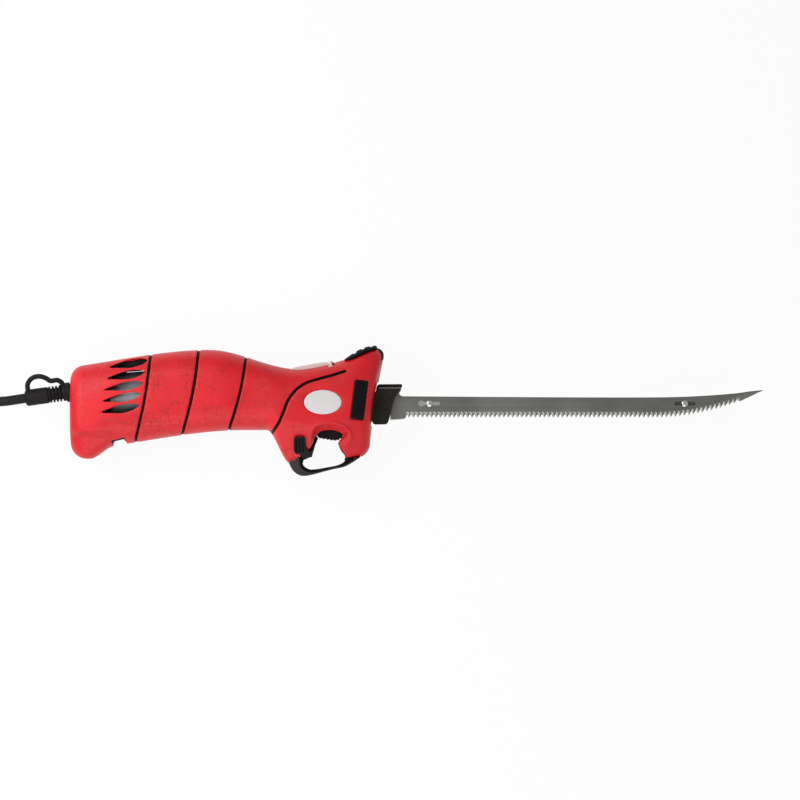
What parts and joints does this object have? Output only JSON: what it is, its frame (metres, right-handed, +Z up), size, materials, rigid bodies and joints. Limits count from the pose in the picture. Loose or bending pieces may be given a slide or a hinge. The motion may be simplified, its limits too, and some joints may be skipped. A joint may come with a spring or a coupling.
{
  "type": "electric fillet knife",
  "caption": "Hand-held electric fillet knife: shaped red grip with finger trigger and guard, driving a pair of serrated blades that slide against each other.",
  "frame": {"origin": "middle of the knife box, without its cord, on the floor it lies on", "axes": "+X towards the blade tip, +Y towards the spine of the blade, +Z up through the right side"},
  "size_m": [0.6366, 0.1233, 0.0423],
  "materials": {
    "red": "fine crackled texture with a soft sheen",
    "black": "satin black nylon",
    "rubber": "matt black",
    "pale": "pale grey, slightly translucent",
    "steel": "drawn and turned steel",
    "blade": "dark coated blade steel",
    "iron": "laminated iron",
    "copper": "copper",
    "magnet": "sintered ferrite",
    "brass": "bright brass",
    "carbon": "carbon",
    "nylon": "natural nylon"
  },
  "bodies": {
    "housing": {"right_shell": "black", "left_shell": "black", "thumb_rest": "rubber", "badge": "pale", "front_plate": "black", "right_rear_grip": "red", "left_rear_grip": "red", "right_rear_band": "red", "left_rear_band": "red", "right_front_band": "red", "left_front_band": "red", "right_head_grip": "red", "left_head_grip": "red", "trigger_guard": "black", "motor_can": "steel", "magnet_upper": "magnet", "magnet_lower": "magnet", "motor_end_cap": "black", "brush_upper": "carbon", "brush_lower": "carbon", "rear_bush": "brass", "front_bush": "brass", "middle_bearing": "steel", "end_bearing": "steel", "wheel_axle": "steel", "switch_body": "black", "trigger_spring": "steel", "release_spring": "steel", "screw_1": "steel", "screw_2": "steel", "screw_3": "steel", "screw_4": "steel", "screw_5": "steel", "strain_relief": "rubber", "cord_lead": "rubber", "cord_coil": "rubber", "cord_tie": "rubber", "plug_body": "rubber", "plug_pin_a": "brass", "plug_pin_b": "brass"},
    "armature": {"armature_core": "iron", "winding_rear": "copper", "winding_front": "copper", "commutator": "copper", "motor_shaft": "steel", "cooling_fan": "nylon", "worm": "steel"},
    "wheel": {"worm_wheel": "nylon"},
    "right_carrier": {"right_carrier": "black"},
    "left_carrier": {"left_carrier": "black"},
    "right_blades": {"right_blade": "blade", "right_blade_base": "rubber"},
    "left_blades": {"left_blade": "blade", "left_blade_base": "rubber", "heel_rivet": "steel", "tip_rivet": "steel"},
    "trigger": {"trigger": "rubber", "switch_plunger": "nylon"},
    "release": {"release_button": "pale"},
    "lock": {"safety_lock": "black"}
  },
  "joints": [
    {"name": "armature_spin", "type": "hinge", "parent": "housing", "child": "armature", "pos_m": [-0.14535, 0.00921, 0.021], "axis": [0.9973, 0.0729, 0], "range_deg": [-1980, 1980]},
    {"name": "wheel_spin", "type": "hinge", "parent": "housing", "child": "wheel", "pos_m": [-0.05335, 0.00214, 0.021], "axis": [0, 0, 1], "range_deg": [-90, 90]},
    {"name": "right_carrier_slide", "type": "slide", "parent": "housing", "child": "right_carrier", "axis": [1, 0, 0], "range_m": [-0.0025, 0.0025]},
    {"name": "left_carrier_slide", "type": "slide", "parent": "housing", "child": "left_carrier", "axis": [1, 0, 0], "range_m": [-0.0025, 0.0025]},
    {"name": "right_blade_pull", "type": "slide", "parent": "right_carrier", "child": "right_blades", "axis": [1, 0, 0], "range_m": [0, 0.045]},
    {"name": "left_blade_pull", "type": "slide", "parent": "left_carrier", "child": "left_blades", "axis": [1, 0, 0], "range_m": [0, 0.045]},
    {"name": "trigger_pull", "type": "slide", "parent": "housing", "child": "trigger", "axis": [0, 1, 0], "range_m": [0, 0.003], "stiffness_N_per_m": 500, "springref_m": -0.002, "deforming": ["trigger_spring"]},
    {"name": "release_press", "type": "slide", "parent": "housing", "child": "release", "axis": [0, -1, 0], "range_m": [0, 0.0012], "stiffness_N_per_m": 800, "springref_m": -0.002, "deforming": ["release_spring"]},
    {"name": "safety_slide", "type": "slide", "parent": "housing", "child": "lock", "axis": [0, -1, 0], "range_m": [0, 0.003]}
  ],
  "couplings": [
    {"joint": "wheel_spin", "follows": "armature_spin", "ratio": 0.045455},
    {"joint": "right_carrier_slide", "follows": "armature_spin", "m_per_rad": -0.000072343},
    {"joint": "left_carrier_slide", "follows": "armature_spin", "m_per_rad": 0.000072343},
    {"joint": "left_blade_pull", "follows": "right_blade_pull", "ratio": 1}
  ]
}
